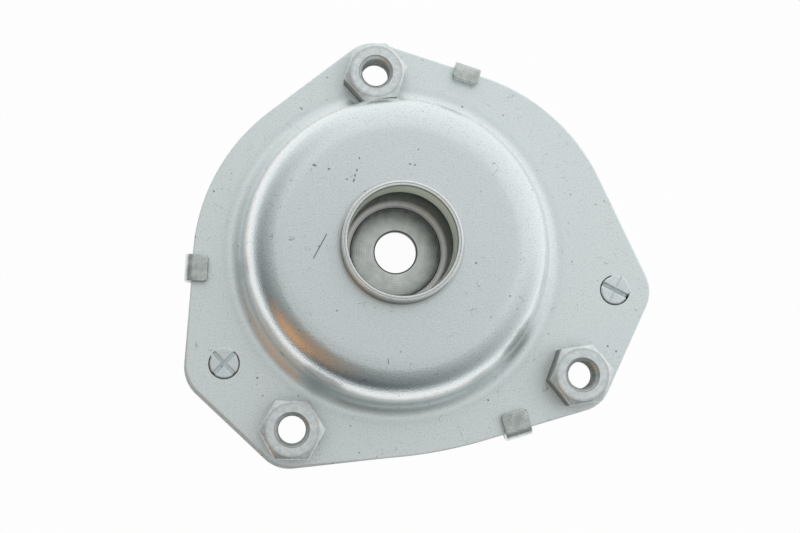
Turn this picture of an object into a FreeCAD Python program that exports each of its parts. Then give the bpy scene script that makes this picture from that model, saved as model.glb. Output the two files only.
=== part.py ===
import FreeCAD, Part
import math
import os

# Strut mount of a car's front suspension, a steel housing with a cushioned bearing for the damper's rod.
# Lengths are in millimetres and angles in degrees. The origin is on the rod's axis, level with the
# flange's upper face, and +Z points out of the neck.

Vec = FreeCAD.Vector
UP = Vec(0, 0, 1)

# Upper housing: flange, dome and neck, one pressing
housing_sheet = 2.5
dome_r = 45.3
dome_height = 20.5
shoulder_bend = 12.0
foot_bend = 4.7
neck_r = 17.25
neck_wall = 1.65
neck_draft = 0.3
neck_height = 6.3
neck_bend = 0.5
neck_foot_fillet = 0.8
neck_rim_round = 0.4
edge_roll = 0.4

# Lower plate: the second pressing, with a dish in its middle
plate_sheet = 2.0
plate_lip = 0.9
dish_r = 40.0
dish_depth = 13.5
dish_opening_r = 25.0
dish_mouth_bend = 3.0
dish_floor_bend = 3.0
opening_edge_round = 0.5

# Flange outline: a lobe round each nut and button, and an arc along each side. A side arc is given by
# the point where it bows out furthest, the direction that it faces there and its radius.
nut_places = {"top": (-6.43, 54.03), "left": (-30.45, -52.87), "right": (55.21, -36.76)}
nut_lobes = {"top": 11.4, "left": 10.9, "right": 10.8}
button_places = {"left": (-50.64, -33.55), "right": (67.60, -10.65)}
button_lobes = {"left": 11.3, "right": 10.9}
side_bows = {"left": (-54.04, 23.76), "bottom": (13.82, -59.27), "right": (48.83, 43.66)}
side_facing_angles = {"left": 153.0, "bottom": -79.5, "right": 48.9}
side_radii = {"left": 59.5, "bottom": 136.9, "right": 58.4}

# Captive hex nuts, M10
nut_flats = 17.0
nut_height = 8.0
nut_face_r = 7.8
nut_chamfer_angle = 30.0
nut_thread_r = 4.25
nut_countersink = 1.15
nut_lead_in = 0.5
nut_collar_r = 5.3
nut_collar_height = 1.2
nut_turns = {"top": 12.0, "left": 0.0, "right": 9.0}
nut_hole_clearance = 0.2
nut_seat_clearance = 0.5

# Staked buttons, pushed up out of the lower plate through the flange
button_r = 4.4
button_rise = 0.15
button_clearance = 0.25
button_punch_gap = 0.4
stake_half_width = 1.5
stake_depth = 0.7
stake_turns = {"left": 45.0, "right": -27.0}

# Tabs of the lower plate, folded over the flange's edge after each side arc:
# distance along the straight edge that follows the arc, and how far the flap reaches over the flange
tab_width = 8.2
tab_gap = 0.15
tab_bend = 3.1
tab_places = {"right": 5.5, "left": 4.6, "bottom": 10.6}
tab_reaches = {"right": 4.0, "left": 5.0, "bottom": 6.1}
tab_end_round = 0.5

# Rod bush: turned disc with a spigot that centres it in the bearing's inner race
bush_disc_r = 13.5
bush_face_z = 1.7
bush_disc_relief = 0.5
bush_hub_r = 11.0
bush_bore_r = 6.25
bush_bore_chamfer = 0.4
bush_edge_chamfer = 0.3
bush_land = 2.1
bush_spigot_wall = 0.73
bush_spigot_length = 5.7
disc_gap = 0.45

# Drawn steel cup round the disc, with the flange that the cushions grip
cup_sheet = 1.5
cup_floor_z = 1.2
cup_inner_r = 17.0
cup_corner_bend = 3.0
cup_flange_z = 10.0
cup_flange_r = 34.0
cup_lip_bend = 1.5

# Drawn seat that holds the bearing under the cup
seat_sheet = 1.5
seat_bend = 0.5
crimp_thickness = 1.5
crimp_reach = 1.2

# Deep-groove ball bearing, 17 x 35 x 10
bearing_bore_r = 8.5
bearing_outer_r = 17.5
bearing_width = 10.0
ball_r = 2.38
ball_count = 10
ball_clearance = 0.15
race_land_gap = 1.65
race_edge_round = 0.6
race_lip = 0.35
fit_clearance = 0.02

# Riveted two-piece cage of the bearing
cage_sheet = 0.5
cage_half_width = 1.0
cage_clearance = 0.12
rivet_r = 0.5
rivet_head_r = 0.85
rivet_head_height = 0.3

# Bearing seals
seal_thickness = 0.7
seal_depth = 0.3
seal_gap = 0.1

# Rubber cushions above and below the cup's flange
cushion_gap = 1.8
rebound_top_r = 31.5
rebound_waist_r = 29.5
rebound_base_r = 33.0
jounce_top_r = 33.5
jounce_waist_r = 31.0
jounce_bulge_gap = 1.0
jounce_foot_inset = 1.5
cushion_edge_round = 1.0
cushion_waist_round = 3.0

# Levels worked out from the sizes above
roof_under_z = dome_height - housing_sheet
plate_top_z = -housing_sheet
plate_under_z = plate_top_z - plate_sheet
dish_floor_z = plate_top_z - dish_depth
cup_under_z = cup_floor_z - cup_sheet
cup_flange_under_z = cup_flange_z - cup_sheet
bearing_top_z = cup_under_z - seat_sheet
bearing_under_z = bearing_top_z - bearing_width
bearing_mid_z = bearing_top_z - bearing_width / 2
pitch_r = (bearing_bore_r + bearing_outer_r) / 2
core_hole_r = bush_disc_r + disc_gap
seat_r = bearing_outer_r + fit_clearance + seat_sheet
button_hole_r = button_r + button_clearance
nut_hole_r = nut_collar_r + nut_hole_clearance


def polar(centre, radius, angle, z=0.0):
    """Point at a radius and angle from a centre (x, y), at height z."""
    turn = math.radians(angle)
    return Vec(centre[0] + radius * math.cos(turn), centre[1] + radius * math.sin(turn), z)


def cylinder(radius, bottom, top, centre=(0, 0)):
    """Upright cylinder between two levels."""
    return Part.makeCylinder(radius, top - bottom, Vec(centre[0], centre[1], bottom))


def rounded_loop(corners):
    """Closed wire in the XZ plane through corners (x, z, radius), each rounded by its own radius."""
    points = [Vec(x, 0, z) for x, z, radius in corners]
    bends = []
    for i, (x, z, radius) in enumerate(corners):
        corner = points[i]
        back = (points[i - 1] - corner).normalize()
        ahead = (points[(i + 1) % len(points)] - corner).normalize()
        half = back.getAngle(ahead) / 2
        reach = radius / math.tan(half)
        inward = Vec(back + ahead).normalize() * (radius / math.sin(half) - radius)
        bends.append((corner + back * reach, corner + inward, corner + ahead * reach))
    edges = []
    for i, (start, middle, end) in enumerate(bends):
        if corners[i][2] > 0:
            edges.append(Part.Arc(start, middle, end).toShape())
        following = bends[(i + 1) % len(bends)][0]
        if end.distanceToPoint(following) > 1e-6:
            edges.append(Part.LineSegment(end, following).toShape())
    return Part.Wire(edges)


def revolved(corners):
    """Solid of revolution about the rod's axis, from the section's corners (radius, z, rounding)."""
    return Part.Face(rounded_loop(corners)).revolve(Vec(0, 0, 0), UP, 360)


def ring(inner, outer, bottom, top):
    """Plain ring between two radii and two levels."""
    return revolved([(inner, bottom, 0), (outer, bottom, 0), (outer, top, 0), (inner, top, 0)])


def side_circle(side):
    """Centre and radius of a side's arc, worked back from the point where it bows out furthest."""
    centre = polar(side_bows[side], -side_radii[side], side_facing_angles[side])
    return (centre.x, centre.y), side_radii[side]


def flange_circles():
    """Circles whose common tangents are the flange's outline, counter-clockwise from the top nut."""
    return {
        "nut_top": (nut_places["top"], nut_lobes["top"]),
        "side_left": side_circle("left"),
        "button_left": (button_places["left"], button_lobes["left"]),
        "nut_left": (nut_places["left"], nut_lobes["left"]),
        "side_bottom": side_circle("bottom"),
        "nut_right": (nut_places["right"], nut_lobes["right"]),
        "button_right": (button_places["right"], button_lobes["right"]),
        "side_right": side_circle("right"),
    }


def plate_circles():
    """The flange's circles with the edge between the left button and the left nut moved out by the lip."""
    circles = flange_circles()
    outward = leaving_angles(circles)["button_left"]
    for name in ("button_left", "nut_left"):
        centre, radius = circles[name]
        moved = polar(centre, plate_lip, outward)
        circles[name] = ((moved.x, moved.y), radius)
    return circles


def leaving_angles(circles):
    """For each circle, the outward direction where the outline leaves it along a tangent to the next."""
    names = list(circles)
    angles = {}
    for i, name in enumerate(names):
        (x, y), radius = circles[name]
        (next_x, next_y), next_radius = circles[names[(i + 1) % len(names)]]
        distance = math.hypot(next_x - x, next_y - y)
        heading = math.degrees(math.atan2(next_y - y, next_x - x))
        angles[name] = heading - math.degrees(math.acos((radius - next_radius) / distance))
    return angles


def outline_face(circles, z):
    """Flat face inside the circles and their common tangents."""
    names = list(circles)
    leaving = leaving_angles(circles)
    edges = []
    for i, name in enumerate(names):
        centre, radius = circles[name]
        start_angle = leaving[names[i - 1]]
        sweep = (leaving[name] - start_angle) % 360
        start = polar(centre, radius, start_angle, z)
        middle = polar(centre, radius, start_angle + sweep / 2, z)
        end = polar(centre, radius, leaving[name], z)
        next_centre, next_radius = circles[names[(i + 1) % len(names)]]
        edges.append(Part.Arc(start, middle, end).toShape())
        edges.append(Part.LineSegment(end, polar(next_centre, next_radius, leaving[name], z)).toShape())
    return Part.Face(Part.Wire(edges))


def blanked_sheet(circles, bottom, thickness):
    """Flat sheet cut to the outline, with its edges rolled over by the blanking die."""
    sheet = outline_face(circles, bottom).extrude(Vec(0, 0, thickness))
    flat_edges = [edge for edge in sheet.Edges if edge.BoundBox.ZLength < 1e-3]
    return sheet.makeFillet(min(edge_roll, thickness * 0.45), flat_edges)


def upper_housing():
    """Flange, dome and upturned neck, with a flat seat for each nut and holes for bolts and buttons."""
    seam_r = dome_r + foot_bend
    neck_mouth_r = neck_r - neck_wall
    neck_throat_r = neck_mouth_r - neck_draft
    neck_rim_z = dome_height + neck_height
    dome = revolved([
        (seam_r + housing_sheet, 0, 0),
        (dome_r, 0, foot_bend),
        (dome_r, dome_height, shoulder_bend),
        (neck_r, dome_height, neck_foot_fillet),
        (neck_r, neck_rim_z, neck_rim_round),
        (neck_mouth_r, neck_rim_z, neck_rim_round),
        (neck_throat_r, roof_under_z, neck_bend),
        (dome_r - housing_sheet, roof_under_z, shoulder_bend - housing_sheet),
        (dome_r - housing_sheet, plate_top_z, foot_bend + housing_sheet),
        (seam_r + housing_sheet, plate_top_z, 0),
    ])
    flange = blanked_sheet(flange_circles(), plate_top_z, housing_sheet)
    housing = flange.cut(cylinder(seam_r + housing_sheet, plate_top_z - 1, 1)).fuse(dome)
    nut_seat_r = nut_flats / math.sqrt(3) + nut_seat_clearance
    cuts = []
    for place in nut_places.values():
        cuts.append(cylinder(nut_hole_r, plate_top_z - 1, 1, place))
        cuts.append(cylinder(nut_seat_r, 0, dome_height, place))
    for place in button_places.values():
        cuts.append(cylinder(button_hole_r, plate_top_z - 1, 1, place))
    return housing.cut(cuts).removeSplitter()


def folded_tab(side):
    """Tab that leaves the plate's edge, passes round the flange's edge and lies back on top of it."""
    outer = tab_gap + plate_sheet
    root = -2 * plate_sheet
    section = rounded_loop([
        (root, plate_under_z, 0),
        (outer, plate_under_z, tab_bend),
        (outer, plate_sheet, tab_bend),
        (-tab_reaches[side], plate_sheet, tab_end_round),
        (-tab_reaches[side], 0, 0),
        (tab_gap, 0, edge_roll),
        (tab_gap, plate_top_z, edge_roll),
        (root, plate_top_z, 0),
    ])
    tab = Part.Face(section).extrude(Vec(0, tab_width, 0))
    circles = flange_circles()
    centre, radius = circles["side_" + side]
    outward = leaving_angles(circles)["side_" + side]
    tab.translate(Vec(radius, tab_places[side] - tab_width / 2, 0))
    tab.rotate(Vec(0, 0, 0), UP, outward)
    tab.translate(Vec(centre[0], centre[1], 0))
    return tab


def vee_groove(place, turn, surface_z):
    """Groove of one blade of the cross-shaped staking punch."""
    length = 4 * button_r
    corners = [
        Vec(-length / 2, -stake_half_width, surface_z),
        Vec(-length / 2, 0, surface_z - stake_depth),
        Vec(-length / 2, stake_half_width, surface_z),
    ]
    groove = Part.Face(Part.makePolygon(corners + corners[:1])).extrude(Vec(length, 0, 0))
    groove.rotate(Vec(0, 0, 0), UP, turn)
    groove.translate(Vec(place[0], place[1], 0))
    return groove


def staked_button(name):
    """Round button half-sheared out of the plate, with the cross of the staking punch in its top."""
    place = button_places[name]
    button = cylinder(button_r, plate_top_z - plate_sheet / 2, button_rise, place)
    turn = stake_turns[name]
    return button.cut([vee_groove(place, turn, button_rise), vee_groove(place, turn + 90, button_rise)])


def lower_plate():
    """Plate under the flange: central dish, bolt holes, staked buttons and three folded tabs."""
    seam_r = dish_r + dish_mouth_bend
    dish = revolved([
        (seam_r, plate_top_z, 0),
        (dish_r - plate_sheet, plate_top_z, dish_mouth_bend),
        (dish_r - plate_sheet, dish_floor_z, dish_floor_bend),
        (dish_opening_r, dish_floor_z, opening_edge_round),
        (dish_opening_r, dish_floor_z - plate_sheet, opening_edge_round),
        (dish_r, dish_floor_z - plate_sheet, dish_floor_bend + plate_sheet),
        (dish_r, plate_under_z, dish_mouth_bend - plate_sheet),
        (seam_r, plate_under_z, 0),
    ])
    sheet = outline_face(plate_circles(), plate_under_z).extrude(Vec(0, 0, plate_sheet))
    sheet = sheet.cut(cylinder(seam_r, plate_under_z - 1, plate_top_z + 1))
    raised = [staked_button(name) for name in button_places]
    tabs = [folded_tab(side) for side in tab_places]
    plate = sheet.fuse([dish] + raised + tabs)
    cuts = []
    for place in nut_places.values():
        cuts.append(cylinder(nut_hole_r, plate_under_z - 1, plate_top_z + 1, place))
    punch_r = button_r - button_punch_gap
    for place in button_places.values():
        cuts.append(cylinder(punch_r, plate_under_z - 1, button_rise - plate_sheet, place))
    return plate.cut(cuts).removeSplitter()


def weld_nut(name):
    """Hex nut with a chamfered face, a countersunk thread bore and a pilot collar in the flange's hole."""
    corner_r = nut_flats / math.sqrt(3)
    chamfer_drop = (corner_r - nut_face_r) * math.tan(math.radians(nut_chamfer_angle))
    turned = revolved([
        (nut_thread_r, nut_lead_in - nut_collar_height, 0),
        (nut_thread_r + nut_lead_in, -nut_collar_height, 0),
        (nut_collar_r, -nut_collar_height, 0),
        (nut_collar_r, 0, 0),
        (corner_r, 0, 0),
        (corner_r, nut_height - chamfer_drop, 0),
        (nut_face_r, nut_height, 0),
        (nut_thread_r + nut_countersink, nut_height, 0),
        (nut_thread_r, nut_height - nut_countersink, 0),
    ])
    corners = [polar((0, 0), corner_r, nut_turns[name] + 60 * k, -nut_collar_height) for k in range(7)]
    hexagon = Part.Face(Part.makePolygon(corners)).extrude(Vec(0, 0, nut_height + nut_collar_height))
    nut = turned.common(hexagon)
    nut.translate(Vec(nut_places[name][0], nut_places[name][1], 0))
    return nut


def centre_bush():
    """Turned disc that the damper's rod is bolted through. Its short bore widens below into a spigot."""
    spigot_r = bearing_bore_r - fit_clearance
    spigot_bore_r = spigot_r - bush_spigot_wall
    spigot_z = bearing_top_z - bush_spigot_length
    relief_z = bearing_top_z + bush_disc_relief
    land_z = bush_face_z - bush_land
    return revolved([
        (bush_bore_r, bush_face_z - bush_bore_chamfer, 0),
        (bush_bore_r + bush_bore_chamfer, bush_face_z, 0),
        (bush_disc_r - bush_edge_chamfer, bush_face_z, 0),
        (bush_disc_r, bush_face_z - bush_edge_chamfer, 0),
        (bush_disc_r, relief_z, 0),
        (bush_hub_r, relief_z, 0),
        (bush_hub_r, bearing_top_z, 0),
        (spigot_r, bearing_top_z, 0),
        (spigot_r, spigot_z, bush_edge_chamfer),
        (spigot_bore_r, spigot_z, 0),
        (spigot_bore_r, land_z - (spigot_bore_r - bush_bore_r), 0),
        (bush_bore_r, land_z, 0),
    ])


def inner_cup():
    """Drawn cup: a floor round the disc, a wall, and a wide flange between the two cushions."""
    return revolved([
        (core_hole_r, cup_floor_z, 0),
        (cup_inner_r, cup_floor_z, cup_corner_bend - 0.05),
        (cup_inner_r, cup_flange_z, cup_lip_bend + cup_sheet),
        (cup_flange_r, cup_flange_z, edge_roll),
        (cup_flange_r, cup_flange_under_z, edge_roll),
        (cup_inner_r + cup_sheet, cup_flange_under_z, cup_lip_bend),
        (cup_inner_r + cup_sheet, cup_under_z, cup_corner_bend + cup_sheet - 0.05),
        (core_hole_r, cup_under_z, 0),
    ])


def bearing_seat():
    """Drawn sleeve under the cup, crimped in below the outer race."""
    inner_r = seat_r - seat_sheet
    crimp_z = bearing_under_z - crimp_thickness
    return revolved([
        (core_hole_r, cup_under_z, 0),
        (seat_r, cup_under_z, seat_bend + seat_sheet),
        (seat_r, crimp_z, crimp_thickness * 0.8),
        (bearing_outer_r - crimp_reach, crimp_z, edge_roll),
        (bearing_outer_r - crimp_reach, bearing_under_z, 0),
        (inner_r, bearing_under_z, 0),
        (inner_r, bearing_top_z, seat_bend),
        (core_hole_r, bearing_top_z, 0),
    ])


def ball_groove():
    """Torus that the balls' track is cut with."""
    return Part.makeTorus(pitch_r, ball_r + ball_clearance, Vec(0, 0, bearing_mid_z), UP)


def inner_race():
    """Inner race with its ball track."""
    land_r = pitch_r - race_land_gap
    race = revolved([
        (bearing_bore_r, bearing_under_z, race_edge_round),
        (land_r, bearing_under_z, 0),
        (land_r, bearing_top_z, 0),
        (bearing_bore_r, bearing_top_z, race_edge_round),
    ])
    return race.cut(ball_groove())


def outer_race():
    """Outer race with its ball track, and a step at each end that a seal snaps into."""
    land_r = pitch_r + race_land_gap
    step = seal_depth + seal_thickness
    race = revolved([
        (land_r + race_lip, bearing_under_z, 0),
        (bearing_outer_r, bearing_under_z, race_edge_round),
        (bearing_outer_r, bearing_top_z, race_edge_round),
        (land_r + race_lip, bearing_top_z, 0),
        (land_r + race_lip, bearing_top_z - step, 0),
        (land_r, bearing_top_z - step, 0),
        (land_r, bearing_under_z + step, 0),
        (land_r + race_lip, bearing_under_z + step, 0),
    ])
    return race.cut(ball_groove())


def seal(top):
    """Flat seal in the outer race's step, with a running gap to the inner race."""
    inner = pitch_r - race_land_gap + seal_gap
    outer = pitch_r + race_land_gap + race_lip - fit_clearance
    return ring(inner, outer, top - seal_thickness, top)


def ball_centres():
    """Centres of the balls on the pitch circle."""
    return [polar((0, 0), pitch_r, 360 / ball_count * k, bearing_mid_z) for k in range(ball_count)]


def rivet_centres():
    """Centres of the cage's rivets, midway between the balls."""
    return [polar((0, 0), pitch_r, 360 / ball_count * (k + 0.5), bearing_mid_z) for k in range(ball_count)]


def cage_half(side):
    """One half of the ribbon cage: flat webs and a half-round pocket over each ball. side is 1 or -1."""
    pocket_r = ball_r + cage_clearance
    dome_top = pocket_r + cage_sheet
    levels = sorted([bearing_mid_z, bearing_mid_z + side * dome_top])
    web_levels = sorted([bearing_mid_z, bearing_mid_z + side * cage_sheet])
    inner = pitch_r - cage_half_width
    outer = pitch_r + cage_half_width
    web = ring(inner, outer, web_levels[0], web_levels[1])
    shells = [Part.makeSphere(dome_top, centre) for centre in ball_centres()]
    band = ring(inner, outer, levels[0], levels[1])
    half = web.fuse(shells).common(band)
    pockets = [Part.makeSphere(pocket_r, centre) for centre in ball_centres()]
    holes = [
        cylinder(rivet_r + fit_clearance, levels[0], levels[1], (centre.x, centre.y))
        for centre in rivet_centres()
    ]
    return half.cut(pockets + holes).removeSplitter()


def cage_rivets():
    """Rivets with a flat head on each side of the two webs."""
    rivets = []
    for centre in rivet_centres():
        place = (centre.x, centre.y)
        low = bearing_mid_z - cage_sheet
        high = bearing_mid_z + cage_sheet
        shank = cylinder(rivet_r, low, high, place)
        foot = cylinder(rivet_head_r, low - rivet_head_height, low, place)
        head = cylinder(rivet_head_r, high, high + rivet_head_height, place)
        rivets.append(shank.fuse([foot, head]).removeSplitter())
    return Part.makeCompound(rivets)


def rebound_cushion():
    """Rubber ring between the housing's roof and the cup's flange, waisted at half its height."""
    middle_z = (roof_under_z + cup_flange_z) / 2
    inner = seat_r + cushion_gap
    return revolved([
        (inner, cup_flange_z, 0),
        (rebound_base_r, cup_flange_z, cushion_edge_round),
        (rebound_waist_r, middle_z, cushion_waist_round),
        (rebound_top_r, roof_under_z, cushion_edge_round),
        (inner, roof_under_z, 0),
        (inner + cushion_gap, middle_z, cushion_waist_round),
    ])


def jounce_cushion():
    """Rubber ring between the cup's flange and the dish's floor, waisted above and bulged in the dish."""
    height = cup_flange_under_z - dish_floor_z
    inner = seat_r + cushion_gap
    foot_r = dish_opening_r + jounce_foot_inset
    bulge_r = dish_r - plate_sheet - jounce_bulge_gap
    return revolved([
        (inner, cup_flange_under_z, 0),
        (jounce_top_r, cup_flange_under_z, cushion_edge_round),
        (jounce_waist_r, cup_flange_under_z - 0.35 * height, cushion_waist_round),
        (bulge_r, cup_flange_under_z - 0.7 * height, cushion_waist_round),
        (bulge_r - dish_floor_bend, dish_floor_z, cushion_edge_round),
        (foot_r, dish_floor_z, 0),
        (inner, cup_flange_under_z - 0.6 * height, cushion_waist_round),
    ])


def all_parts():
    """Every node's name and its shape."""
    shapes = {
        "upper_housing": upper_housing(),
        "lower_plate": lower_plate(),
        "rebound_cushion": rebound_cushion(),
        "jounce_cushion": jounce_cushion(),
        "inner_cup": inner_cup(),
        "bearing_seat": bearing_seat(),
        "bearing_outer_race": outer_race(),
        "bearing_inner_race": inner_race(),
        "seal_upper": seal(bearing_top_z - seal_depth),
        "seal_lower": seal(bearing_under_z + seal_depth + seal_thickness),
        "centre_bush": centre_bush(),
        "cage_upper": cage_half(1),
        "cage_lower": cage_half(-1),
        "cage_rivets": cage_rivets(),
    }
    for name in nut_places:
        shapes["weld_nut_" + name] = weld_nut(name)
    for number, centre in enumerate(ball_centres(), start=1):
        shapes["bearing_ball_%02d" % number] = Part.makeSphere(ball_r, centre)
    return shapes


os.makedirs("parts", exist_ok=True)
for name, shape in all_parts().items():
    shape.exportStep("parts/" + name + ".step")
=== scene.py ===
import math

import bmesh
import bpy
import numpy as np
from mathutils import Matrix, Vector


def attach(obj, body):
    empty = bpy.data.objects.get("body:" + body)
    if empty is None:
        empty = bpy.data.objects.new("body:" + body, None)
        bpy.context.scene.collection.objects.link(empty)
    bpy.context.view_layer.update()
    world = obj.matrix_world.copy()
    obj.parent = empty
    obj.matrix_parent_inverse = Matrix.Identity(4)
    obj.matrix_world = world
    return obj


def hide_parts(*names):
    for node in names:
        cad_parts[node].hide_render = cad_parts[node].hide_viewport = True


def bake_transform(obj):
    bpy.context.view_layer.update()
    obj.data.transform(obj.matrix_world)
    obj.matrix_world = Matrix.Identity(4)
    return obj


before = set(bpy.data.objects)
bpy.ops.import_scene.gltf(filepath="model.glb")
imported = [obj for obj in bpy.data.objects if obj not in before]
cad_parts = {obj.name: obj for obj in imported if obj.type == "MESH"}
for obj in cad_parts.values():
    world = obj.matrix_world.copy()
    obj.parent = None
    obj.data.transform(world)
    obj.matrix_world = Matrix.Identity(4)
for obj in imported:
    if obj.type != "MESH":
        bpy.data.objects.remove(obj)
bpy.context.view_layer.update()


# The upper housing: flange, round dome and upturned neck, drawn in one piece from 2.5 mm steel sheet and
# zinc plated. The lower plate's tabs and staked buttons clamp it. All sizes here and below are millimetres
# about the damper rod's axis, with the flange's upper face at zero.

housing_sheet = 2.5
dome_r = 45.3
dome_height = 20.5
shoulder_bend = 12.0
foot_bend = 4.7
neck_r = 17.25
neck_wall = 1.65
neck_rim_z = dome_height + 6.3
edge_roll = 0.4
nut_places = {"top": (-6.43, 54.03), "left": (-30.45, -52.87), "right": (55.21, -36.76)}
button_places = {"left": (-50.64, -33.55), "right": (67.60, -10.65)}
side_bows = {
    "left": (-54.04, 23.76, 153.0, 59.5),
    "bottom": (13.82, -59.27, -79.5, 136.9),
    "right": (48.83, 43.66, 48.9, 58.4),
}
side_circles = {
    side: (x - r * math.cos(math.radians(facing)), y - r * math.sin(math.radians(facing)), r)
    for side, (x, y, facing, r) in side_bows.items()
}
flange_circles = [
    (*nut_places["top"], 11.4), side_circles["left"],
    (*button_places["left"], 11.3), (*nut_places["left"], 10.9), side_circles["bottom"],
    (*nut_places["right"], 10.8), (*button_places["right"], 10.9), side_circles["right"],
]


def leaving_directions(circles):
    """For each circle (x, y, r), the direction of the point where the common tangent to the next one leaves
    it: the heading to the next centre less the arc cosine of the radii's difference over the distance."""
    here = np.array(circles)
    ahead = np.roll(here, -1, axis=0)
    step = ahead - here
    heading = np.arctan2(step[:, 1], step[:, 0])
    return heading - np.arccos(-step[:, 2] / np.hypot(step[:, 0], step[:, 1]))


def belt(circles, spacing=1.1):
    """Points and outward directions of a belt round the circles: on each an arc between the directions where
    the two tangents touch, then the straight tangent to the next, each divided evenly."""
    leaving = leaving_directions(circles)
    points, facing = [], []
    for i, (x, y, r) in enumerate(circles):
        start = leaving[i - 1]
        sweep = (leaving[i] - start) % (2 * math.pi)
        angles = start + sweep * np.linspace(0, 1, 2 + int(r * sweep / spacing))
        outward = np.stack([np.cos(angles), np.sin(angles)], 1)
        arc = (x, y) + r * outward
        next_x, next_y, next_r = circles[(i + 1) % len(circles)]
        run = (next_x, next_y) + next_r * outward[-1] - arc[-1]
        count = int(np.linalg.norm(run) / spacing)
        shares = np.linspace(0, 1, count + 2)[1:-1, None]
        points += [arc, arc[-1] + shares * run]
        facing += [outward, np.repeat(outward[-1:], count, axis=0)]
    return np.concatenate(points), np.concatenate(facing)


def bent_path(corners, closed=False, turn=5.0, spacing=1.6):
    """Points of a path through corners (across, up, radius). An arc touches both runs at the radius over the
    tangent of the half angle from the corner, and its points are the sine-weighted mix of its two ends."""
    spots = np.array([corner[:2] for corner in corners], float)
    stretches = []
    for i, (across, up, radius) in enumerate(corners):
        if radius == 0:
            stretches.append(spots[i:i + 1])
            continue
        back = spots[i - 1] - spots[i]
        ahead = spots[(i + 1) % len(spots)] - spots[i]
        back, ahead = back / np.linalg.norm(back), ahead / np.linalg.norm(ahead)
        half = math.acos(back @ ahead) / 2
        sweep = math.pi - 2 * half
        centre = spots[i] + (back + ahead) / np.linalg.norm(back + ahead) * radius / math.sin(half)
        first = spots[i] + back * radius / math.tan(half) - centre
        last = spots[i] + ahead * radius / math.tan(half) - centre
        steps = np.linspace(0, 1, 3 + int(math.degrees(sweep) / turn))[:, None]
        mixed = np.sin((1 - steps) * sweep) * first + np.sin(steps * sweep) * last
        stretches.append(centre + mixed / math.sin(sweep))
    path = [stretches[0]]
    for stretch in stretches[1:] + (stretches[:1] if closed else []):
        start, run = path[-1][-1], stretch[0] - path[-1][-1]
        shares = np.linspace(0, 1, 2 + int(np.linalg.norm(run) / spacing))[1:-1, None]
        path += [start + shares * run, stretch]
    if closed:
        path.pop()
    path = np.concatenate(path)
    return path[np.linalg.norm(path - np.roll(path, 1, axis=0), axis=1) > 1e-4]


def pressing(section, outline, facing, upper_z, under_z, roll, flat_rows=12):
    """Rows of a blanked and drawn sheet. The section (radius, height) goes from the upper seam through the
    drawn middle to the lower seam and is turned round the axis at the outline's own angles. Flat rows then run
    straight from seam to outline, round its rolled edge as two quarter circles, and back."""
    angle = np.arctan2(outline[:, 1], outline[:, 0])
    around = np.stack([np.cos(angle), np.sin(angle)], 1)
    drawn = section[:, 0, None, None] * around
    turns = np.radians([0, 30, 60, 90])
    inset = roll * (1 - np.sin(turns))
    rise = roll * (1 - np.cos(turns))
    edge = outline - np.concatenate([inset, inset[::-1]])[:, None, None] * facing
    edge_z = np.concatenate([under_z + rise, upper_z - rise[::-1]])
    shares = np.append(np.linspace(0, 1, flat_rows + 1)[1:-1], 0.985)[:, None, None]
    under = drawn[-1] + shares * (edge[0] - drawn[-1])
    upper = (drawn[0] + shares * (edge[-1] - drawn[0]))[::-1]
    rows = np.concatenate([drawn, under, edge, upper])
    heights = np.concatenate([
        section[:, 1], np.full(len(under), under_z), edge_z, np.full(len(upper), upper_z)])
    return np.dstack([rows, np.broadcast_to(heights[:, None], rows.shape[:2])])


def turned(section, columns=240):
    """Rows of a turned shape: the closed section (radius, height) at even angles round the axis."""
    angle = np.linspace(0, 2 * math.pi, columns, endpoint=False)
    across = section[:, :1]
    height = np.broadcast_to(section[:, 1:], (len(section), columns))
    return np.dstack([across * np.cos(angle), across * np.sin(angle), height])


def shell(name, *grids, crease=33.0, painted_shade=None):
    """Mesh object of closed grids (rows, columns, xyz in mm). Columns join up, and so do rows unless the grid
    comes as a pair with False: then its first and last rows close on a point at their mean. A grid whose
    signed volume, the sum of its corners' triple products, is negative has its faces turned over. The painted
    shade, one number a point, is kept as an attribute for the finish."""
    points, faces = [], []
    for grid in grids:
        rows, joined = grid if isinstance(grid, tuple) else (grid, True)
        start = sum(len(block) for block in points)
        height, width = rows.shape[:2]
        index = start + np.arange(height * width).reshape(height, width)
        beside = np.roll(index, -1, axis=1)
        last = height if joined else height - 1
        quads = np.stack([index, beside, np.roll(beside, -1, axis=0), np.roll(index, -1, axis=0)], -1)
        quads = quads[:last].reshape(-1, 4)
        block = rows.reshape(-1, 3)
        if not joined:
            block = np.concatenate([block, rows[:1].mean(1), rows[-1:].mean(1)])
            foot, head = start + height * width, start + height * width + 1
            fans = [(index[0], beside[0], foot), (beside[-1], index[-1], head)]
            caps = np.concatenate([
                np.stack([b, a, np.full(width, tip), np.full(width, tip)], -1) for a, b, tip in fans])
            quads = np.concatenate([quads, caps])
        corner = block[quads - start]
        volume = np.einsum("ij,ij->", corner[:, 0], np.cross(corner[:, 1], corner[:, 2]))
        volume += np.einsum("ij,ij->", corner[:, 0], np.cross(corner[:, 2], corner[:, 3]))
        points.append(block)
        faces.append(quads if volume > 0 else quads[:, ::-1])
    lists = [list(dict.fromkeys(face)) for face in np.concatenate(faces).tolist()]
    mesh = bpy.data.meshes.new(name)
    mesh.from_pydata((np.concatenate(points) * 0.001).tolist(), [], lists)
    mesh.shade_smooth()
    mesh.set_sharp_from_angle(angle=math.radians(crease))
    if painted_shade is not None:
        values = mesh.attributes.new("painted_shade", "FLOAT", "POINT").data
        values.foreach_set("value", painted_shade.ravel().astype(np.float32))
    piece = bpy.data.objects.new(name, mesh)
    bpy.context.scene.collection.objects.link(piece)
    return piece


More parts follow.
